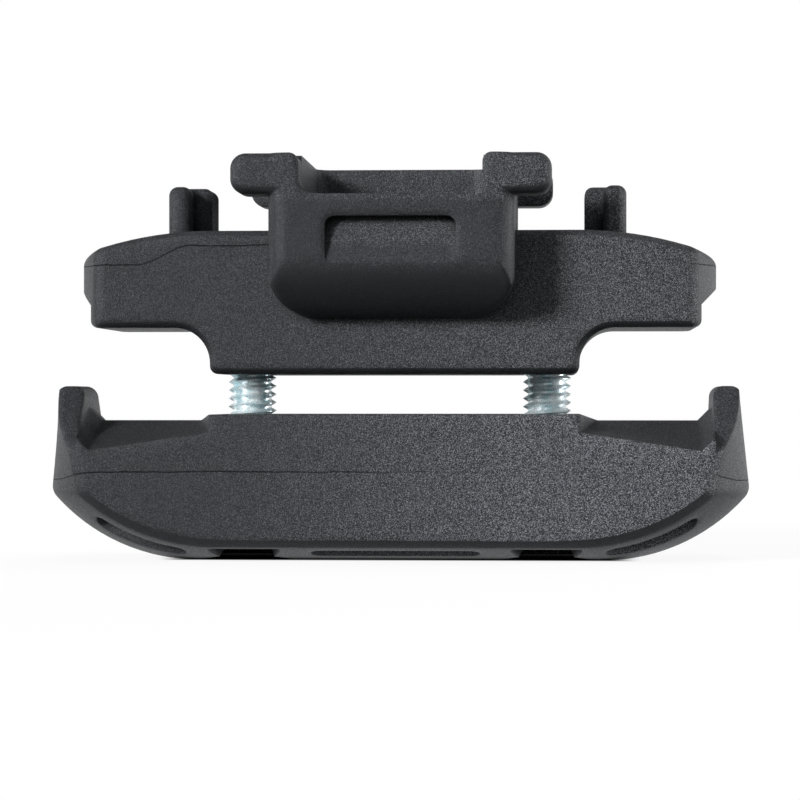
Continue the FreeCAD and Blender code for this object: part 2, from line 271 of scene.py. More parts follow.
    # The hook block's front frame keeps less of the painted sheen and glint points, a painted shade; these
    # set its depth, its top and what is left.
    frame_depth: bpy.props.FloatProperty(
        name="Frame depth", description="Depth of the hook block's matt front frame", unit="LENGTH",
        default=1.0 * MM)
    frame_top: bpy.props.FloatProperty(
        name="Frame top", description="Height where the matt front frame ends, under the ears",
        unit="LENGTH", default=43.5 * MM)
    frame_shine: bpy.props.FloatProperty(
        name="Frame shine", description="Share of the grain's bright points on the matt front frame",
        subtype="FACTOR", default=0.4, min=0, max=1)


class MouthSizes(bpy.types.PropertyGroup):
    """Mouths that open the rail clamp's nut pockets to the front."""
    reach: bpy.props.FloatProperty(
        name="Reach", description="How far a mouth reaches in front of its screw", unit="LENGTH",
        default=11.0 * MM)
    start: bpy.props.FloatProperty(
        name="Start", description="How far in front of its screw a mouth starts", unit="LENGTH",
        default=4.5 * MM)
    outer_half: bpy.props.FloatProperty(
        name="Outer half", description="Half width of a mouth at its lip", unit="LENGTH", default=4.7 * MM)
    inner_half: bpy.props.FloatProperty(
        name="Inner half", description="Half width of a mouth at the pocket", unit="LENGTH", default=2.8 * MM)
    lip_height: bpy.props.FloatProperty(
        name="Lip height", description="Height of a mouth's roof at its lip", unit="LENGTH", default=1.6 * MM)
    roof_height: bpy.props.FloatProperty(
        name="Roof height", description="Height of a mouth's roof at the pocket", unit="LENGTH",
        default=2.8 * MM)
    rounding: bpy.props.FloatProperty(
        name="Rounding", description="Rounding of a mouth's corners", unit="LENGTH", default=0.5 * MM)
    sill_near: bpy.props.FloatProperty(
        name="Sill near", description="Where the sill behind a pocket starts", unit="LENGTH",
        default=5.0 * MM)
    sill_far: bpy.props.FloatProperty(
        name="Sill far", description="Where the sill behind a pocket ends", unit="LENGTH",
        default=7.0 * MM)
    sill_half: bpy.props.FloatProperty(
        name="Sill half width", description="Half the width of the sill", unit="LENGTH", default=4.5 * MM)
    sill_low: bpy.props.FloatProperty(
        name="Sill foot", description="Height of the sill's near lower edge", unit="LENGTH",
        default=0.24 * MM)
    sill_rise: bpy.props.FloatProperty(
        name="Sill rise", description="Rise of the sill's underside along the hull", unit="LENGTH",
        default=0.36 * MM)


class ZincLook(bpy.types.PropertyGroup):
    """Finish of the zinc-plated screws and nuts."""
    colour: bpy.props.FloatVectorProperty(
        name="Colour", description="Bright zinc", subtype="COLOR", size=3,
        default=(0.86, 0.93, 0.95), min=0, max=1)
    patch_size: bpy.props.FloatProperty(
        name="Patch size", description="Width of the blue patches", unit="LENGTH", default=1.6 * MM)
    grain_size: bpy.props.FloatProperty(
        name="Grain size", description="Width of the plating's fine grain", unit="LENGTH", default=0.12 * MM)
    grain_depth: bpy.props.FloatProperty(
        name="Grain depth", description="Depth of the plating's fine grain", unit="LENGTH",
        default=0.006 * MM)
    grain_strength: bpy.props.FloatProperty(
        name="Grain strength", description="How strongly the fine grain turns the light", subtype="FACTOR",
        default=0.6, min=0, max=1)
    tint: bpy.props.FloatVectorProperty(
        name="Tint", description="Blue of the passivated patches", subtype="COLOR", size=3,
        default=(0.46, 0.66, 0.71), min=0, max=1)
    roughness: bpy.props.FloatProperty(
        name="Roughness", description="Roughness of the plating", subtype="FACTOR",
        default=0.2, min=0, max=1)
    metal: bpy.props.FloatProperty(
        name="Metal", description="Share of bare metal shine under the milky passivation", subtype="FACTOR",
        default=0.5, min=0, max=1)


class ScrewSizes(bpy.types.PropertyGroup):
    """Sizes of the M6 screws that the plain CAD shanks leave out."""
    pitch: bpy.props.FloatProperty(
        name="Pitch", description="Rise of the thread in one turn", unit="LENGTH", default=1.0 * MM)
    crest: bpy.props.FloatProperty(
        name="Crest radius", description="Radius over the thread", unit="LENGTH", default=2.95 * MM)
    root: bpy.props.FloatProperty(
        name="Root radius", description="Radius at the bottom of the thread", unit="LENGTH",
        default=2.36 * MM)
    head_height: bpy.props.FloatProperty(
        name="Head height", description="Height of the head above its seat", unit="LENGTH", default=6.0 * MM)
    head_overlap: bpy.props.FloatProperty(
        name="Head overlap", description="How far the thread runs on inside the head", unit="LENGTH",
        default=1.5 * MM)
    head_round: bpy.props.FloatProperty(
        name="Head rounding", description="Rounding of the head's rims", unit="LENGTH", default=0.4 * MM)
    socket_flats: bpy.props.FloatProperty(
        name="Socket", description="Width across the flats of the key socket", unit="LENGTH",
        default=5.0 * MM)
    socket_depth: bpy.props.FloatProperty(
        name="Socket depth", description="Depth of the key socket", unit="LENGTH", default=3.0 * MM)
    drill_radius: bpy.props.FloatProperty(
        name="Drill radius", description="Radius of the drilled cone under the key socket", unit="LENGTH",
        default=2.3 * MM)
    drill_depth: bpy.props.FloatProperty(
        name="Drill depth", description="Depth of the drilled cone under the key socket", unit="LENGTH",
        default=0.75 * MM)
    tip_chamfer: bpy.props.FloatProperty(
        name="Tip chamfer", description="Chamfer at the end of the thread", unit="LENGTH", default=0.8 * MM)


class NutSizes(bpy.types.PropertyGroup):
    """Sizes of the hexagon nuts."""
    flats: bpy.props.FloatProperty(
        name="Across flats", description="Width across the flats", unit="LENGTH", default=10.0 * MM)
    corner_drop: bpy.props.FloatProperty(
        name="Corner drop", description="Height of the turned-down corners", unit="LENGTH",
        default=0.45 * MM)
    thread_play: bpy.props.FloatProperty(
        name="Thread play", description="Gap between the nut's thread and the screw's", unit="LENGTH",
        default=0.05 * MM)
    bore_chamfer: bpy.props.FloatProperty(
        name="Bore chamfer", description="Widening of the bore at both faces", unit="LENGTH",
        default=0.35 * MM)


class StageSetup(bpy.types.PropertyGroup):
    """Camera, lamps and floor."""
    distance: bpy.props.FloatProperty(
        name="Camera distance", description="From the lens to the plane of the screws", unit="LENGTH",
        default=370 * MM)
    height: bpy.props.FloatProperty(
        name="Camera height", description="Height of the lens above the floor", unit="LENGTH",
        default=19.5 * MM)
    aside: bpy.props.FloatProperty(
        name="Camera aside", description="Sideways place of the picture's middle", unit="LENGTH",
        default=0.75 * MM)
    azimuth: bpy.props.FloatProperty(
        name="Camera azimuth", description="Turn of the camera about the front face", subtype="ANGLE",
        default=math.radians(3.2))
    focal: bpy.props.FloatProperty(
        name="Focal length", description="Focal length on a 36 mm sensor", default=134.9)
    key_power: bpy.props.FloatProperty(
        name="Key lamp", description="Power of the lamp at the front left", default=18)
    front_power: bpy.props.FloatProperty(
        name="Front lamp", description="Power of the large lamp at the camera", default=0.8)
    top_power: bpy.props.FloatProperty(
        name="Top lamp", description="Power of the lamp above", default=3.0)
    back_power: bpy.props.FloatProperty(
        name="Back lamp", description="Power of the lamp behind", default=9.0)
    side_power: bpy.props.FloatProperty(
        name="Side lamp", description="Power of the lamp at the right", default=7)
    surround: bpy.props.FloatProperty(
        name="Surround", description="Strength of the surround's own light", default=0.15)
    wall_right: bpy.props.FloatProperty(
        name="Wall right", description="How far the mirrored wall comes forward at the right", default=0.4)
    wall_left: bpy.props.FloatProperty(
        name="Wall left", description="How far the mirrored wall comes forward at the left", default=0.1)
    floor_bounce: bpy.props.FloatProperty(
        name="Floor bounce", description="Share of the floor's white that lights the object",
        subtype="FACTOR", default=0.1, min=0, max=1)
    floor_glow: bpy.props.FloatProperty(
        name="Floor glow", description="Share of the floor near the object that is plain white",
        subtype="FACTOR", default=0.9, min=0, max=1)
    foot_half_width: bpy.props.FloatProperty(
        name="Foot half width", description="Half width of the floor that the object covers", unit="LENGTH",
        default=30 * MM)
    foot_front: bpy.props.FloatProperty(
        name="Foot front", description="How far the floor that the object covers reaches forward",
        unit="LENGTH", default=6.5 * MM)
    foot_back: bpy.props.FloatProperty(
        name="Foot back", description="How far the floor that the object covers reaches back", unit="LENGTH",
        default=11 * MM)
    foot_shade: bpy.props.FloatProperty(
        name="Foot shade", description="Share of the floor's white left where the object covers it",
        subtype="FACTOR", default=0.03, min=0, max=1)
    mirror_front: bpy.props.FloatProperty(
        name="Mirror front", description="Depth in front of which the floor isn't mirrored white",
        unit="LENGTH", default=12 * MM)
    shadow_near: bpy.props.FloatProperty(
        name="Shadow near", description="Distance up to which the floor keeps its shadow", unit="LENGTH",
        default=60 * MM)
    shadow_far: bpy.props.FloatProperty(
        name="Shadow far", description="Distance at which the floor has faded to white", unit="LENGTH",
        default=220 * MM)


def deselect_all():
    """Leaves no object selected."""
    bpy.ops.object.select_all(action="DESELECT")


def select_only(piece):
    """Makes the piece the active and only selected object."""
    deselect_all()
    bpy.context.view_layer.objects.active = piece
    piece.select_set(True)


def new_primitive(name, add, **settings):
    """Adds a primitive with nothing else selected, and names it."""
    deselect_all()
    add(**settings)
    piece = bpy.context.object
    piece.name = name
    piece.data.name = name
    return piece


def apply_modifier(piece, kind, **settings):
    """Adds a modifier to the piece, sets it and applies it."""
    select_only(piece)
    modifier = piece.modifiers.new(kind.lower(), kind)
    for setting, value in settings.items():
        setattr(modifier, setting, value)
    bpy.ops.object.modifier_apply(modifier=modifier.name)


def combine(piece, operation, tool):
    """Cuts, joins or limits the piece by a tool, which is then removed."""
    apply_modifier(piece, "BOOLEAN", operation=operation, object=tool, solver="EXACT")
    bpy.data.meshes.remove(tool.data)


def settle(piece, angle=SMOOTH_ANGLE):
    """Puts the piece's place into its mesh, merges doubles, turns normals out and smooths round faces."""
    select_only(piece)
    bpy.ops.object.transform_apply(location=True, rotation=True, scale=True)
    bpy.ops.object.mode_set(mode="EDIT")
    bpy.ops.mesh.select_all(action="SELECT")
    bpy.ops.mesh.remove_doubles(threshold=WELD)
    bpy.ops.mesh.normals_make_consistent(inside=False)
    bpy.ops.object.mode_set(mode="OBJECT")
    bpy.ops.object.shade_smooth_by_angle(angle=angle)


def thread(name, x, seat, low, high, root, crest, pitch):
    """Solid right-handed thread between two heights, its turns counted from the head's seat."""
    turns_below = math.ceil((seat - low) / pitch) + SPARE_TURNS_BELOW
    start = seat - turns_below * pitch
    corner = pitch * CORNER_RISE
    flank = pitch * FLANK_RISE - corner
    depth = crest - root
    corner_depth = depth * CORNER_DEPTH
    flank_depth = depth - 2 * corner_depth
    rising = [(corner_depth, corner), (flank_depth, flank), (corner_depth, corner * CREST_CORNER)]
    falling = [(-out, rise) for out, rise in reversed(rising)]
    steps = [(0, pitch * ROOT_LAND)] + rising + [(0, pitch * CREST_LAND)] + falling
    climbed = sum(rise for _, rise in steps)
    turns = math.ceil((high - start) / pitch) + SPARE_TURNS_ABOVE
    piece = new_primitive(name, bpy.ops.mesh.primitive_plane_add, size=crest, location=(x, 0, start))
    bpy.ops.object.mode_set(mode="EDIT")
    bpy.ops.mesh.select_all(action="SELECT")
    bpy.ops.mesh.merge(type="CENTER")
    bpy.ops.transform.translate(value=(root, 0, 0))
    for out, rise in steps:
        step = (out, 0, rise * pitch / climbed)
        bpy.ops.mesh.extrude_vertices_move(TRANSFORM_OT_translate={"value": step})
    bpy.ops.object.mode_set(mode="OBJECT")
    apply_modifier(piece, "SCREW", axis="Z", angle=2 * math.pi, screw_offset=pitch, iterations=turns,
                   steps=TURN_STEPS, render_steps=TURN_STEPS, use_merge_vertices=True, merge_threshold=WELD)
    bpy.ops.object.mode_set(mode="EDIT")
    for height, side in ((low, "clear_inner"), (high, "clear_outer")):
        bpy.ops.mesh.select_all(action="SELECT")
        bpy.ops.mesh.bisect(plane_co=(x, 0, height), plane_no=(0, 0, 1), use_fill=True, **{side: True})
    bpy.ops.mesh.select_all(action="SELECT")
    bpy.ops.mesh.normals_make_consistent(inside=False)
    bpy.ops.object.mode_set(mode="OBJECT")
    return piece


def middle_x(low, high):
    """Place of a screw's axis, from the corners of a box about it."""
    return (low.x + high.x) / 2


def cone(name, x, low, high, low_radius, high_radius):
    """Upright cone or cylinder about a screw's axis."""
    return new_primitive(name, bpy.ops.mesh.primitive_cone_add, vertices=ROUND_SIDES, radius1=low_radius,
                         radius2=high_radius, depth=high - low, location=(x, 0, (low + high) / 2))


def hexagon(name, x, flats, low, high):
    """Hexagonal bar about a screw's axis, with two corners on the line through both screws."""
    return new_primitive(name, bpy.ops.mesh.primitive_cylinder_add, vertices=6, radius=flats / math.sqrt(3),
                         depth=high - low, location=(x, 0, (low + high) / 2), rotation=(0, 0, math.pi / 2))


def block(name, low, high):
    """Box between two corners, with its mesh about its own middle."""
    form = new_primitive(name, bpy.ops.mesh.primitive_cube_add, size=1,
                         location=(low + high) / 2, scale=high - low)
    bpy.ops.object.transform_apply(location=False, rotation=False, scale=True)
    return form


def select_vertices(piece, test):
    """Enters edit mode with just the vertices selected that pass the test."""
    bpy.ops.object.mode_set(mode="EDIT")
    bpy.ops.mesh.select_mode(type="VERT")
    bpy.ops.mesh.select_all(action="DESELECT")
    bpy.ops.object.mode_set(mode="OBJECT")
    for vertex in piece.data.vertices:
        vertex.select = test(vertex.co)
    bpy.ops.object.mode_set(mode="EDIT")


def mouth_form(x, sizes):
    """Cutter for a nut pocket's mouth, wider and lower at its lip than at the pocket."""
    # It reaches as far below the hull as its lip is high, which keeps its lower rounding clear of the cut.
    form = block("mouth_form", Vector((x - sizes.inner_half, -sizes.reach, -sizes.lip_height)),
                 Vector((x + sizes.inner_half, -sizes.start, sizes.roof_height)))
    select_vertices(form, lambda corner: corner.y < 0)
    bpy.ops.transform.resize(value=(sizes.outer_half / sizes.inner_half, 1, 1),
                             center_override=tuple(form.location))
    select_vertices(form, lambda corner: corner.y < 0 and corner.z > 0)
    bpy.ops.transform.translate(value=(0, 0, sizes.lip_height - sizes.roof_height))
    bpy.ops.object.mode_set(mode="OBJECT")
    apply_modifier(form, "BEVEL", width=sizes.rounding, segments=BEVEL_SEGMENTS, limit_method="NONE")
    return form


def sill_form(x, sizes):
    """Sill that closes the flare behind a nut pocket down to the hull's underside."""
    form = block("sill_form", Vector((x - sizes.sill_half, sizes.sill_near, sizes.sill_low)),
                 Vector((x + sizes.sill_half, sizes.sill_far, sizes.roof_height)))
    select_vertices(form, lambda corner: corner.y > 0 and corner.z < 0)
    bpy.ops.transform.translate(value=(0, 0, sizes.sill_rise))
    bpy.ops.object.mode_set(mode="OBJECT")
    return form


def make_clamp(sizes):
    """Rail clamp whose nut pockets open to the front and have a sill behind, from a copy of the CAD node."""
    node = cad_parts["rail_clamp"]
    clamp = bpy.data.objects.new("rail_clamp_mouthed", node.data.copy())
    clamp.data.name = clamp.name
    bpy.context.scene.collection.objects.link(clamp)
    select_only(clamp)
    bpy.ops.mesh.customdata_custom_splitnormals_clear()
    settle(clamp)
    for side in SIDES:
        x = middle_x(*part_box("nut_" + side))
        combine(clamp, "UNION", sill_form(x, sizes))
        combine(clamp, "DIFFERENCE", mouth_form(x, sizes))
    settle(clamp, HULL_SMOOTH_ANGLE)
    apply_modifier(clamp, "WEIGHTED_NORMAL", mode="FACE_AREA", weight=FACE_WEIGHT, keep_sharp=True)
    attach(clamp, "rail_clamp")
    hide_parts("rail_clamp")
    return clamp


def make_screw(side, sizes):
    """Socket head cap screw with a cut thread, in place of the plain CAD screw."""
    node = "screw_" + side
    low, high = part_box(node)
    x = middle_x(low, high)
    head_radius = (high.x - low.x) / 2
    seat = high.z - sizes.head_height
    shank = thread(node + "_threaded", x, seat, low.z, seat + sizes.head_overlap,
                   sizes.root, sizes.crest, sizes.pitch)
    reach = sizes.crest * 2
    tip_radius = sizes.crest - sizes.tip_chamfer
    tip = cone("tip_form", x, low.z, low.z + reach, tip_radius, tip_radius + reach)
    combine(tip, "UNION", cone("sleeve_form", x, low.z + reach * SLEEVE_START, high.z, reach, reach))
    combine(shank, "INTERSECT", tip)
    head = cone("head_form", x, seat, high.z, head_radius, head_radius)
    apply_modifier(head, "BEVEL", width=sizes.head_round, segments=BEVEL_SEGMENTS, limit_method="ANGLE",
                   angle_limit=RIM_ANGLE)
    floor = high.z - sizes.socket_depth
    socket = hexagon("socket_form", x, sizes.socket_flats, floor, high.z + sizes.socket_depth)
    combine(socket, "UNION", cone("drill_form", x, floor - sizes.drill_depth, floor, 0, sizes.drill_radius))
    combine(head, "DIFFERENCE", socket)
    combine(shank, "UNION", head)
    settle(shank)
    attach(shank, node)
    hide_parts(node)
    return shank


def make_nut(side, sizes, screw):
    """Hexagon nut with turned-down corners and a cut thread, in place of the plain CAD nut."""
    node = "nut_" + side
    low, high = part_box(node)
    x = middle_x(low, high)
    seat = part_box("screw_" + side)[1].z - screw.head_height
    flat = sizes.flats / 2
    corner = sizes.flats / math.sqrt(3)
    drop = sizes.corner_drop
    nut = hexagon(node + "_threaded", x, sizes.flats, low.z, high.z)
    form = cone("lower_form", x, low.z, low.z + drop, flat, corner)
    combine(form, "UNION", cone("middle_form", x, low.z + drop, high.z - drop, corner, corner))
    combine(form, "UNION", cone("upper_form", x, high.z - drop, high.z, corner, flat))
    combine(nut, "INTERSECT", form)
    tap = thread("tap_form", x, seat, low.z - screw.pitch, high.z + screw.pitch,
                 screw.root + sizes.thread_play, screw.crest + sizes.thread_play, screw.pitch)
    combine(nut, "DIFFERENCE", tap)
    widest = screw.crest + sizes.thread_play + sizes.bore_chamfer
    past = widest * SINK_PAST
    deep = widest - past
    combine(nut, "DIFFERENCE", cone("lower_sink", x, low.z - past, low.z + deep, widest + past, past))
    combine(nut, "DIFFERENCE", cone("upper_sink", x, high.z - deep, high.z + past, past, widest + past))
    settle(nut)
    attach(nut, "rail_clamp")
    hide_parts(node)
    return nut


class Nodes:
    """Short way to write a material's nodes."""

    def __init__(self, tree):
        self.tree = tree
        self.tree.nodes.clear()

    @classmethod
    def of_material(cls, name):
        """Starts a new material with an empty tree."""
        material = bpy.data.materials.new(name)
        material.use_nodes = True
        nodes = cls(material.node_tree)
        nodes.material = material
        return nodes

    def add(self, kind, inputs=None, output=0, **settings):
        """Adds a node, sets it, fills its inputs with values or links, and returns one output."""
        node = self.tree.nodes.new(kind)
        for setting, value in settings.items():
            setattr(node, setting, value)
        for key, value in (inputs or {}).items():
            if isinstance(value, bpy.types.NodeSocket):
                self.tree.links.new(value, node.inputs[key])
            else:
                node.inputs[key].default_value = value
        return node.outputs[output]

    def split(self, vector):
        """Returns the three parts of a vector."""
        node = self.tree.nodes.new("ShaderNodeSeparateXYZ")
        self.tree.links.new(vector, node.inputs[0])
        return node.outputs

    def math(self, operation, *values):
        """Works out one operation on values or links."""
        return self.add("ShaderNodeMath", dict(enumerate(values)), operation=operation)

    def ramp(self, value, from_low, from_high, to_low, to_high, smooth=True):
        """Runs from one value to another while the input crosses a range."""
        return self.add("ShaderNodeMapRange", {
            "Value": value, "From Min": from_low, "From Max": from_high,
            "To Min": to_low, "To Max": to_high,
        }, interpolation_type="SMOOTHSTEP" if smooth else "LINEAR")

    def mix(self, share, first, second):
        """Mixes a share of the second colour into the first."""
        return self.add("ShaderNodeMix", {0: share, 6: first, 7: second}, output=2, data_type="RGBA")

    def noise(self, place, size, detail=2.0, roughness=0.5):
        """Noise whose features have the given size."""
        return self.add("ShaderNodeTexNoise", {
            "Vector": place, "Scale": 1 / size, "Detail": detail, "Roughness": roughness})

    def clouds(self, place, size):
        """Noise of soft patches."""
        return self.noise(place, size, CLOUD_DETAIL, CLOUD_ROUGHNESS)

    def over_noise(self, noise, low, high):
        """Runs from one value to another over the middle range of a noise."""
        return self.ramp(noise, NOISE_LOW, NOISE_HIGH, low, high)

    def close(self, shader, kind="ShaderNodeOutputMaterial"):
        """Links the shader to an output of the tree."""
        output = self.tree.nodes.new(kind)
        self.tree.links.new(shader, output.inputs["Surface"])


def rgba(colour, strength=1.0):
    """Opaque colour, made lighter or darker by a factor."""
    return tuple(channel * strength for channel in colour) + (1.0,)


def seam_share(nodes, look, place, line, z, shown):
    """Share of the surface that a seam covers, near the heights of its line and where it is shown."""
    stray = nodes.math("SUBTRACT", nodes.noise(place, look.seam_wave), 0.5)
    line = nodes.math("MULTIPLY_ADD", stray, look.seam_wobble, line)
    away = nodes.math("ABSOLUTE", nodes.math("SUBTRACT", line, z))
    share = nodes.ramp(away, look.seam_width * SEAM_CORE, look.seam_width * SEAM_RIM, 1, 0)
    return nodes.math("MULTIPLY", share, shown)


def carrier_seam(nodes, look, place, x, z):
    """Seam of the bag carrier, which rises towards the hook block and leaves the block plain."""
    line = nodes.ramp(x, look.carrier_seam_inner, look.carrier_seam_outer,
                      look.carrier_seam_height + look.carrier_seam_rise, look.carrier_seam_height)
    shown = nodes.math("GREATER_THAN", x, look.carrier_seam_clear)
    return seam_share(nodes, look, place, line, z, shown)


def clamp_seam(nodes, look, place, x, z):
    """Seam of the rail clamp, which falls towards its ends."""
    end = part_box("rail_clamp")[1].x
    line = nodes.ramp(x, look.clamp_seam_bend, end, look.clamp_seam_height,
                      look.clamp_seam_height - look.clamp_seam_drop)
    return seam_share(nodes, look, place, line, z, 1.0)


def painted_frame_shade(nodes, look, y, z):
    """Share of the carrier that lies on the hook block's front frame, where the grain is left matt."""
    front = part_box("bag_carrier")[0].y
    near = nodes.ramp(y, front + look.frame_depth * FRAME_CORE, front + look.frame_depth, 1, 0)
    below = nodes.ramp(z, look.frame_top - look.frame_depth, look.frame_top, 1, 0)
    return nodes.math("MULTIPLY", near, below)


def worn_and_highlit_edges(nodes, soft, patches):
    """Share of the surface that is worn bright, along its edges and more in some patches."""
    face = nodes.add("ShaderNodeNewGeometry", output="True Normal")
    facing = nodes.add("ShaderNodeVectorMath", {0: soft, 1: face}, operation="DOT_PRODUCT", output="Value")
    return nodes.math("MULTIPLY", nodes.ramp(facing, WORN_LIT_START, WORN_LIT_FULL, 0, 1),
                      nodes.ramp(patches, WEAR_LIT_LOW, WEAR_LIT_HIGH, WEAR_LIT_LEAST, 1))


def painted_crevice_shade(nodes, look):
    """Share of the surface that lies deep in slots and corners."""
    opened = nodes.add("ShaderNodeAmbientOcclusion", {"Distance": look.crevice_shade_reach}, output="AO",
                       samples=SHADER_SAMPLES, only_local=True)
    return nodes.ramp(opened, CREVICE_DARK, CREVICE_OPEN, 1, 0)


def plastic_marks(nodes, look, sheen_strength, seam, frame_of):
    """Textures of the plastic, and the shares of its surface that moulding and wear have marked."""
    place = nodes.add("ShaderNodeTexCoord", output="Object")
    across, y, z = nodes.split(place)
    _, normal_y, normal_z = nodes.split(nodes.add("ShaderNodeTexCoord", output="Normal"))
    fine = nodes.noise(place, look.grain_size, detail=1)
    points = nodes.add("ShaderNodeTexVoronoi",
                       {"Vector": place, "Scale": POINTS_PER_PIT / look.grain_size}, output="Color")
    patches = nodes.clouds(place, look.patch_size)
    soft = nodes.add("ShaderNodeBevel", {"Radius": look.edge_softness}, samples=SHADER_SAMPLES)

    # Painted sheen: lighter towards the right and on faces that look straight forward, a painted highlight.
    painted_sheen = nodes.ramp(across, -look.painted_sheen_half, look.painted_sheen_half, 0, 1)
    straight = nodes.ramp(normal_y, FRONT_STRAIGHT, FRONT_TURNED, 1, TURNED_SHEEN)
    painted_sheen = nodes.math("MULTIPLY", painted_sheen, straight)
    line = seam(nodes, look, place, nodes.math("ABSOLUTE", across), z)
    line = nodes.math("MULTIPLY", line, nodes.ramp(painted_sheen, 0, 1, 1, SEAM_ON_SHEEN))

    # Painted glint points and sheen fade on faces that turn down, where the lamps light less, and on the hook
    # block's front frame, a painted shade there.
    upright = nodes.ramp(normal_z, FACING_DOWN, FACING_LEVEL, DOWN_GLINT, 1)
    if frame_of:
        dimmed = nodes.ramp(frame_of(nodes, look, y, z), 0, 1, 1, look.frame_shine)
        upright = nodes.math("MULTIPLY", upright, dimmed)
    painted_sheen = nodes.math("MULTIPLY", nodes.math("MULTIPLY", painted_sheen, upright), sheen_strength)
    painted_glints = nodes.math("MULTIPLY", nodes.ramp(points, POINT_START, POINT_FULL, 0, 1),
                        nodes.math("MULTIPLY_ADD", upright, look.painted_glint_share, painted_sheen))
    return SimpleNamespace(fine=fine, points=points, patches=patches, soft=soft, painted_sheen=painted_sheen, painted_glints=painted_glints,
                           line=line, edge_wear_and_highlight=worn_and_highlit_edges(nodes, soft, patches), crevice_shade=painted_crevice_shade(nodes, look))


def plastic_tone(nodes, look, marks):
    """Colour of the plastic with its pits, points, wear, seam and crevices."""
    tone = nodes.mix(nodes.over_noise(marks.patches, 0, 1),
                     rgba(look.colour, PATCH_DARK), rgba(look.colour, PATCH_LIGHT))
    tone = nodes.mix(nodes.over_noise(marks.fine, PIT_SHARE, 0), tone, rgba(look.colour, PIT_TONE))
    # Painted sheen and painted glint points make the plastic lighter, a painted highlight.
    tone = nodes.mix(marks.painted_sheen, tone, rgba(look.colour, look.painted_sheen_tone))
    tone = nodes.mix(marks.painted_glints, tone, rgba(look.painted_glint_colour))
    tone = nodes.mix(nodes.math("MULTIPLY", marks.edge_wear_and_highlight, look.edge_wear_and_highlight_share), tone, rgba(look.painted_glint_colour))
    tone = nodes.mix(nodes.math("MULTIPLY", marks.line, look.seam_shade), tone, rgba(look.colour, SEAM_TONE))
    # Painted shade: slots and corners are painted darker.
    return nodes.mix(marks.crevice_shade, tone, rgba(look.colour, CREVICE_SHADE_TONE))


def plastic_roughness(nodes, look, marks):
    """Roughness of the plastic, matt in its pits, seam and crevices and smoother on worn edges."""
    rough = nodes.ramp(marks.fine, PIT_EDGE, NOISE_HIGH,
                       look.roughness + PIT_MATT, look.roughness - RIDGE_SHINE)
    rough = nodes.math("SUBTRACT", rough, nodes.math("MULTIPLY", marks.edge_wear_and_highlight, look.edge_polish))
    return nodes.math("MAXIMUM", rough, nodes.math("MAXIMUM", marks.line, marks.crevice_shade))


def plastic_relief(nodes, look, marks):
    """Normal of the plastic with its soft edges, its grain and its seam."""
    height = nodes.math("MULTIPLY_ADD", marks.points, POINT_HEIGHT, marks.fine)
    height = nodes.math("SUBTRACT", height, nodes.math("MULTIPLY", marks.line, look.seam_depth))
    return nodes.add("ShaderNodeBump", {
        "Height": height, "Distance": look.grain_depth, "Strength": 1.0, "Normal": marks.soft})


def moulded_plastic(name, look, sheen_strength, seam, frame_of=None):
    """Charcoal plastic with a fine eroded grain, worn edges, dark crevices and a mould seam."""
    nodes = Nodes.of_material(name)
    marks = plastic_marks(nodes, look, sheen_strength, seam, frame_of)
    nodes.close(nodes.add("ShaderNodeBsdfPrincipled", {
        "Base Color": plastic_tone(nodes, look, marks),
        "Roughness": plastic_roughness(nodes, look, marks),
        "Normal": plastic_relief(nodes, look, marks),
        "IOR": PLASTIC_IOR, "Specular IOR Level": look.gloss, "Specular Tint": rgba(look.gloss_tint)}))
    return nodes.material


def bright_zinc(name, look):
    """Zinc plate with faint blue patches and a fine grain."""
    nodes = Nodes.of_material(name)
    place = nodes.add("ShaderNodeTexCoord", output="Object")
    patches = nodes.clouds(place, look.patch_size)
    grain = nodes.noise(place, look.grain_size)
    colour = nodes.mix(nodes.ramp(patches, TINT_START, TINT_FULL, 0, 1), rgba(look.colour), rgba(look.tint))
    rough = nodes.over_noise(grain, look.roughness - ZINC_SMOOTHER, look.roughness + ZINC_ROUGHER)
    bump = nodes.add("ShaderNodeBump", {
        "Height": grain, "Distance": look.grain_depth, "Strength": look.grain_strength})
    nodes.close(nodes.add("ShaderNodeBsdfPrincipled", {
        "Base Color": colour, "Metallic": look.metal, "Roughness": rough, "Normal": bump}))
    return nodes.material


def give_material(piece, material):
    """Makes the material the piece's only one."""
    piece.data.materials.clear()
    piece.data.materials.append(material)


def open_floor(nodes, setup, x, y):
    """Share of the floor that the object doesn't cover."""
    aside = nodes.ramp(nodes.math("ABSOLUTE", x), setup.foot_half_width * FOOT_SIDE_FADE,
                       setup.foot_half_width, 0, 1)
    in_front = nodes.ramp(y, -setup.foot_front, -setup.foot_front * FOOT_FRONT_FADE, 1, 0)
    behind = nodes.ramp(y, setup.foot_back * FOOT_BACK_FADE, setup.foot_back, 0, 1)
    return nodes.math("MAXIMUM", aside, nodes.math("MAXIMUM", in_front, behind))


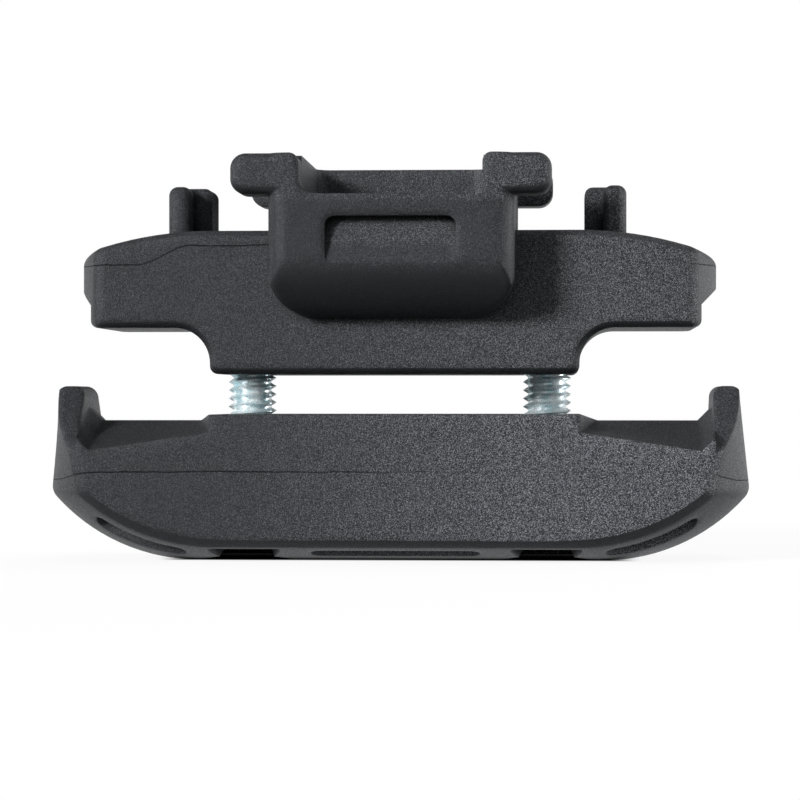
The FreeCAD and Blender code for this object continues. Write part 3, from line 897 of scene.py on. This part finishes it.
def white_floor(setup):
    """Floor that is seen white, keeps the object's shadow, is dark under the object and lights it dimly."""
    nodes = Nodes.of_material("white_floor")
    rays = nodes.tree.nodes.new("ShaderNodeLightPath").outputs
    place = nodes.add("ShaderNodeTexCoord", output="Object")
    x, y, _ = nodes.split(place)
    opened = open_floor(nodes, setup, x, y)
    away = nodes.add("ShaderNodeVectorMath", {0: place}, operation="LENGTH", output="Value")
    faded = nodes.ramp(away, setup.shadow_near, setup.shadow_far, setup.floor_glow, 1)
    seen = nodes.math("MULTIPLY", rays["Is Camera Ray"], nodes.math("MULTIPLY", opened, faded))
    lit = nodes.ramp(y, -setup.mirror_front * (1 + MIRROR_FADE),
                     -setup.mirror_front * (1 - MIRROR_FADE), 0, 1)
    mirrored = nodes.math("MAXIMUM", rays["Is Glossy Ray"], rays["Is Transmission Ray"])
    mirrored = nodes.math("MULTIPLY", mirrored, nodes.math("MULTIPLY", lit, opened))
    shade = nodes.over_noise(nodes.noise(place, FLOOR_CLOUD), FLOOR_DARK, FLOOR_LIGHT)
    shade = nodes.math("MULTIPLY", shade, nodes.ramp(rays["Is Camera Ray"], 0, 1, setup.floor_bounce, 1))
    # Painted shadow: the floor is painted dark where the object covers it.
    shade = nodes.math("MULTIPLY", shade, nodes.ramp(opened, 0, 1, setup.foot_shade, 1))
    card = nodes.add("ShaderNodeBsdfDiffuse", {"Color": shade})
    glow = nodes.add("ShaderNodeEmission", {"Color": (1, 1, 1, 1), "Strength": 1.0})
    nodes.close(nodes.add("ShaderNodeMixShader", {
        0: nodes.math("MAXIMUM", seen, mirrored), 1: card, 2: glow}))
    return nodes.material


def white_surround(setup):
    """World that is white where it is seen, and mirrored as a white wall behind and beside the object."""
    world = bpy.data.worlds.new("white_surround")
    world.use_nodes = True
    nodes = Nodes(world.node_tree)
    rays = nodes.tree.nodes.new("ShaderNodeLightPath").outputs
    x, y, z = nodes.split(nodes.add("ShaderNodeTexCoord", output="Generated"))
    y = nodes.math("ADD", y, nodes.ramp(x, FLANK_START, FLANK_FULL, 0, setup.wall_right))
    y = nodes.math("ADD", y, nodes.ramp(x, -FLANK_FULL, -FLANK_START, setup.wall_left, 0))
    flank = nodes.ramp(nodes.math("ABSOLUTE", x), FLANK_START, FLANK_TALL, 1, FLANK_HEIGHT)
    height = nodes.math("MULTIPLY", nodes.math("ABSOLUTE", z), flank)
    wall = nodes.math("MULTIPLY", nodes.ramp(y, WALL_START, WALL_FULL, 0, 1),
                      nodes.ramp(height, WALL_LOW, WALL_TOP, 1, 0))
    seen = nodes.math("MAXIMUM", rays["Is Camera Ray"], rays["Is Transmission Ray"])
    seen = nodes.math("MAXIMUM", seen, nodes.math("MULTIPLY", rays["Is Glossy Ray"], wall))
    strength = nodes.ramp(seen, 0, 1, setup.surround, 1, smooth=False)
    background = nodes.add("ShaderNodeBackground", {"Color": (1, 1, 1, 1), "Strength": strength})
    nodes.close(background, "ShaderNodeOutputWorld")
    return world


def lay_floor(setup):
    """Round floor a hair under the object."""
    floor = new_primitive("floor", bpy.ops.mesh.primitive_circle_add, vertices=ROUND_SIDES,
                          radius=FLOOR_RADIUS, fill_type="NGON", location=(0, 0, -FLOOR_DROP))
    give_material(floor, white_floor(setup))


def add_lamp(name, place, target, sizes, power, mirrored):
    """Soft lamp that faces the target, and may be left out of reflections."""
    lamp = bpy.data.lights.new(name, "AREA")
    lamp.shape = "RECTANGLE"
    lamp.size, lamp.size_y = sizes
    lamp.energy = power
    holder = bpy.data.objects.new(name, lamp)
    holder.location = place
    holder.visible_glossy = mirrored
    holder.rotation_euler = (Vector(target) - Vector(place)).to_track_quat("-Z", "Y").to_euler()
    bpy.context.scene.collection.objects.link(holder)


def add_camera(setup, middle, front):
    """Camera at the photo's angle, which looks level at the middle of the picture."""
    camera = bpy.data.cameras.new("photo_camera")
    camera.lens = setup.focal
    camera.sensor_width = SENSOR_WIDTH
    camera.clip_start = CLIP_START
    camera.clip_end = CLIP_END
    holder = bpy.data.objects.new("photo_camera", camera)
    back = Vector((math.sin(setup.azimuth), -math.cos(setup.azimuth), 0))
    holder.location = middle + back * (setup.distance + front)
    holder.rotation_euler = (-back).to_track_quat("-Z", "Y").to_euler()
    bpy.context.scene.collection.objects.link(holder)
    return holder


class SADDLE_OT_open_clamp(bpy.types.Operator):
    """Open the rail clamp's nut pockets to the front and give it its eroded plastic"""
    bl_idname = "saddle.open_clamp"
    bl_label = "Open the rail clamp"

    def execute(self, context):
        look = context.scene.saddle_plastic
        give_material(make_clamp(context.scene.saddle_mouths),
                      moulded_plastic("clamp_plastic", look, look.clamp_painted_sheen, clamp_seam))
        return {"FINISHED"}


class SADDLE_OT_finish_carrier(bpy.types.Operator):
    """Give the bag carrier its eroded plastic"""
    bl_idname = "saddle.finish_carrier"
    bl_label = "Finish the bag carrier"

    def execute(self, context):
        look = context.scene.saddle_plastic
        give_material(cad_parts["bag_carrier"],
                      moulded_plastic("carrier_plastic", look, look.carrier_painted_sheen, carrier_seam,
                                      frame_of=painted_frame_shade))
        return {"FINISHED"}


class SADDLE_OT_cut_screws(bpy.types.Operator):
    """Model the two threaded screws"""
    bl_idname = "saddle.cut_screws"
    bl_label = "Cut the screws"

    def execute(self, context):
        scene = context.scene
        zinc = bright_zinc("screw_zinc", scene.saddle_zinc)
        for side in SIDES:
            give_material(make_screw(side, scene.saddle_screws), zinc)
        return {"FINISHED"}


class SADDLE_OT_cut_nuts(bpy.types.Operator):
    """Model the two threaded nuts"""
    bl_idname = "saddle.cut_nuts"
    bl_label = "Cut the nuts"

    def execute(self, context):
        scene = context.scene
        zinc = bright_zinc("nut_zinc", scene.saddle_zinc)
        for side in SIDES:
            give_material(make_nut(side, scene.saddle_nuts, scene.saddle_screws), zinc)
        return {"FINISHED"}


class SADDLE_OT_set_stage(bpy.types.Operator):
    """Set the floor, the lamps, the surround and the camera"""
    bl_idname = "saddle.set_stage"
    bl_label = "Set the stage"

    def execute(self, context):
        scene = context.scene
        setup = scene.saddle_stage
        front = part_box("rail_clamp")[0].y
        middle = Vector((setup.aside, front, setup.height))
        lay_floor(setup)
        for name, place, sizes, mirrored in LAMPS:
            add_lamp(name + "_lamp", place, middle, sizes, getattr(setup, name + "_power"), mirrored)
        scene.world = white_surround(setup)
        scene.camera = add_camera(setup, middle, front)
        scene.view_settings.view_transform = "Standard"
        return {"FINISHED"}


class SADDLE_PT_sidebar(bpy.types.Panel):
    """Steps and sizes of the saddle bag mount"""
    bl_label = "Saddle bag mount"
    bl_idname = "SADDLE_PT_sidebar"
    bl_space_type = "VIEW_3D"
    bl_region_type = "UI"
    bl_category = "Saddle mount"

    def draw(self, context):
        for operator in OPERATORS:
            self.layout.operator(operator.bl_idname)
        for name, group in GROUPS.items():
            column = self.layout.column(heading=group.__doc__)
            for size in group.__annotations__:
                column.prop(getattr(context.scene, name), size)


GROUPS = {
    "saddle_plastic": PlasticLook,
    "saddle_mouths": MouthSizes,
    "saddle_zinc": ZincLook,
    "saddle_screws": ScrewSizes,
    "saddle_nuts": NutSizes,
    "saddle_stage": StageSetup,
}
OPERATORS = (SADDLE_OT_open_clamp, SADDLE_OT_finish_carrier, SADDLE_OT_cut_screws, SADDLE_OT_cut_nuts,
             SADDLE_OT_set_stage)


def register():
    for group in GROUPS.values():
        bpy.utils.register_class(group)
    for name, group in GROUPS.items():
        setattr(bpy.types.Scene, name, bpy.props.PointerProperty(type=group))
    for shown in OPERATORS + (SADDLE_PT_sidebar,):
        bpy.utils.register_class(shown)


def unregister():
    for shown in reversed(OPERATORS + (SADDLE_PT_sidebar,)):
        bpy.utils.unregister_class(shown)
    for name in GROUPS:
        delattr(bpy.types.Scene, name)
    for group in reversed(GROUPS.values()):
        bpy.utils.unregister_class(group)


def main():
    register()
    bpy.ops.saddle.open_clamp()
    bpy.ops.saddle.finish_carrier()
    bpy.ops.saddle.cut_screws()
    bpy.ops.saddle.cut_nuts()
    bpy.ops.saddle.set_stage()


if __name__ == "__main__":
    main()
